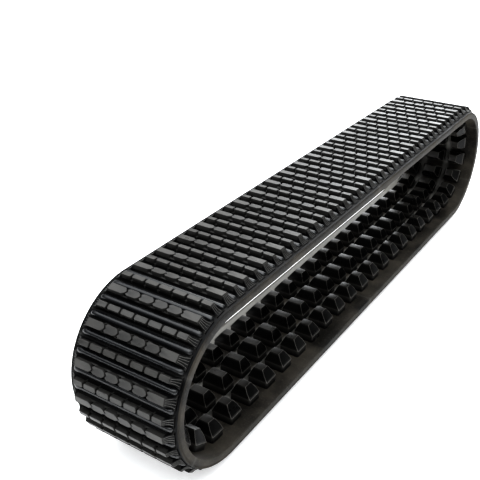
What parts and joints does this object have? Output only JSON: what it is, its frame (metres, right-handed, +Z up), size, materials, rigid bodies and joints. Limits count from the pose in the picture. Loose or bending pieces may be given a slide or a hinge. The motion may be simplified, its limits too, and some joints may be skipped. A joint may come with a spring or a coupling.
{
  "type": "rubber track",
  "caption": "Endless all-rubber track belt for a compact loader: tall block tread bars and low ribs outside, aligned rows of tapered drive lugs inside, buried cord and ply layers.",
  "frame": {"origin": "Centre of the footprint on the ground plane, under the middle of the bottom run.", "axes": "+X runs along the track from the front end to the rear end, +Y across the belt, +Z up. The track stands on the tread of its bottom run."},
  "size_m": [2.4482, 0.381, 0.5542],
  "materials": {
    "tread_rubber": "moulded, slightly glossy, dusty",
    "inner_rubber": "smooth moulded, dusty",
    "lug_rubber": "moulded, scuffed along its edges",
    "cord_layer": "lengthwise cords buried in rubber",
    "ply_layer": "woven bias ply coated in rubber"
  },
  "bodies": {
    "top_front": {"outer_tread_top_front": "tread_rubber", "bias_ply_top_front": "ply_layer", "tension_cords_top_front": "cord_layer", "inner_cover_top_front": "inner_rubber", "lug_row_near_top_front": "lug_rubber", "lug_row_centre_top_front": "lug_rubber", "lug_row_far_top_front": "lug_rubber"},
    "top_rear": {"outer_tread_top_rear": "tread_rubber", "bias_ply_top_rear": "ply_layer", "tension_cords_top_rear": "cord_layer", "inner_cover_top_rear": "inner_rubber", "lug_row_near_top_rear": "lug_rubber", "lug_row_centre_top_rear": "lug_rubber", "lug_row_far_top_rear": "lug_rubber"},
    "rear_upper": {"outer_tread_rear_upper": "tread_rubber", "bias_ply_rear_upper": "ply_layer", "tension_cords_rear_upper": "cord_layer", "inner_cover_rear_upper": "inner_rubber", "lug_row_near_rear_upper": "lug_rubber", "lug_row_centre_rear_upper": "lug_rubber", "lug_row_far_rear_upper": "lug_rubber"},
    "rear_lower": {"outer_tread_rear_lower": "tread_rubber", "bias_ply_rear_lower": "ply_layer", "tension_cords_rear_lower": "cord_layer", "inner_cover_rear_lower": "inner_rubber", "lug_row_near_rear_lower": "lug_rubber", "lug_row_centre_rear_lower": "lug_rubber", "lug_row_far_rear_lower": "lug_rubber"},
    "bottom_run": {"outer_tread_bottom_run": "tread_rubber", "bias_ply_bottom_run": "ply_layer", "tension_cords_bottom_run": "cord_layer", "inner_cover_bottom_run": "inner_rubber", "lug_row_near_bottom_run": "lug_rubber", "lug_row_centre_bottom_run": "lug_rubber", "lug_row_far_bottom_run": "lug_rubber"},
    "front_lower": {"outer_tread_front_lower": "tread_rubber", "bias_ply_front_lower": "ply_layer", "tension_cords_front_lower": "cord_layer", "inner_cover_front_lower": "inner_rubber", "lug_row_near_front_lower": "lug_rubber", "lug_row_centre_front_lower": "lug_rubber", "lug_row_far_front_lower": "lug_rubber"},
    "front_upper": {"outer_tread_front_upper": "tread_rubber", "bias_ply_front_upper": "ply_layer", "tension_cords_front_upper": "cord_layer", "inner_cover_front_upper": "inner_rubber", "lug_row_near_front_upper": "lug_rubber", "lug_row_centre_front_upper": "lug_rubber", "lug_row_far_front_upper": "lug_rubber"}
  },
  "joints": [
    {"name": "front_foot_bend", "type": "hinge", "parent": "bottom_run", "child": "front_lower", "pos_m": [-1.01504, 0, 0.04895], "axis": [0, -1, 0], "range_deg": [-3, 10], "stiffness_Nm_per_rad": 600},
    {"name": "front_nose_bend", "type": "hinge", "parent": "front_lower", "child": "front_upper", "pos_m": [-1.18495, 0, 0.277], "axis": [0, 1, 0], "range_deg": [-6, 20], "stiffness_Nm_per_rad": 600},
    {"name": "front_shoulder_bend", "type": "hinge", "parent": "front_upper", "child": "top_front", "pos_m": [-1.01504, 0, 0.50505], "axis": [0, -1, 0], "range_deg": [-3, 10], "stiffness_Nm_per_rad": 600},
    {"name": "rear_foot_bend", "type": "hinge", "parent": "bottom_run", "child": "rear_lower", "pos_m": [1.01504, 0, 0.04895], "axis": [0, 1, 0], "range_deg": [-3, 10], "stiffness_Nm_per_rad": 600},
    {"name": "rear_nose_bend", "type": "hinge", "parent": "rear_lower", "child": "rear_upper", "pos_m": [1.18495, 0, 0.277], "axis": [0, -1, 0], "range_deg": [-6, 20], "stiffness_Nm_per_rad": 600},
    {"name": "rear_shoulder_bend", "type": "hinge", "parent": "rear_upper", "child": "top_rear", "pos_m": [1.01504, 0, 0.50505], "axis": [0, 1, 0], "range_deg": [-3, 10], "stiffness_Nm_per_rad": 600}
  ],
  "couplings": [
    {"joint": "front_nose_bend", "follows": "front_foot_bend", "ratio": 2},
    {"joint": "front_shoulder_bend", "follows": "front_foot_bend", "ratio": 1},
    {"joint": "rear_foot_bend", "follows": "front_foot_bend", "ratio": 1},
    {"joint": "rear_nose_bend", "follows": "front_foot_bend", "ratio": 2},
    {"joint": "rear_shoulder_bend", "follows": "front_foot_bend", "ratio": 1}
  ]
}
